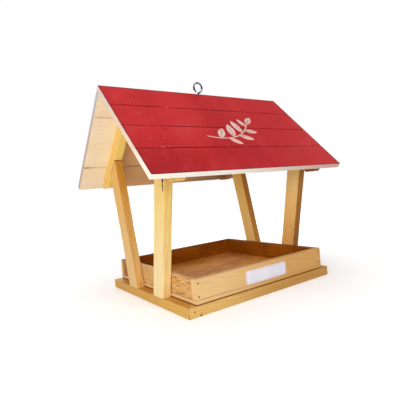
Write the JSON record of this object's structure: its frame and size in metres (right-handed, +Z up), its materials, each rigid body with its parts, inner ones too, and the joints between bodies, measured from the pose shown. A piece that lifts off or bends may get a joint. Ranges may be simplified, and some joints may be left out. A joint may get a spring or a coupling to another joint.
{
  "type": "bird table",
  "caption": "Roofed wooden bird table with a pitched board roof on leaning posts, a loose food tray that slides out, and a screw eye on the ridge for hanging.",
  "frame": {"origin": "below the middle of the ridge, level with the underside of the base", "axes": "+X along the ridge to the right, -Y towards the front, +Z up"},
  "size_m": [0.358, 0.2772, 0.3417],
  "materials": {
    "painted_board": "red paint on the faces, bare pine on the cut edges",
    "pine": "honey-coloured clear glaze on planed pine",
    "tray_wood": "warm brown glaze on planed pine",
    "steel": "bright zinc plate"
  },
  "bodies": {
    "house": {"base_back_rail": "pine", "base_front_rail": "pine", "base_left_rail": "pine", "base_rail_nails": "steel", "base_right_rail": "pine", "post_back_left": "pine", "post_back_right": "pine", "post_base_nails": "steel", "post_front_left": "pine", "post_front_right": "pine", "post_head_nails": "steel", "post_toe_nails": "steel", "rafter_back_left": "pine", "rafter_back_right": "pine", "rafter_front_left": "pine", "rafter_front_right": "pine", "ridge_batten": "pine", "ridge_nails": "steel", "roof_back_board_1": "painted_board", "roof_back_board_2": "painted_board", "roof_back_board_3": "painted_board", "roof_back_board_4": "painted_board", "roof_board_nails": "steel", "roof_front_board_1": "painted_board", "roof_front_board_2": "painted_board", "roof_front_board_3": "painted_board", "roof_front_board_4": "painted_board", "screw_eye": "steel"},
    "tray": {"tray_floor": "tray_wood", "tray_front_wall": "tray_wood", "tray_back_wall": "tray_wood", "tray_left_wall": "tray_wood", "tray_right_wall": "tray_wood", "tray_corner_nails": "steel", "tray_floor_nails": "steel"}
  },
  "joints": [
    {"name": "tray_slide", "type": "slide", "parent": "house", "child": "tray", "axis": [0, -1, 0], "range_m": [-0.11, 0.11]}
  ]
}
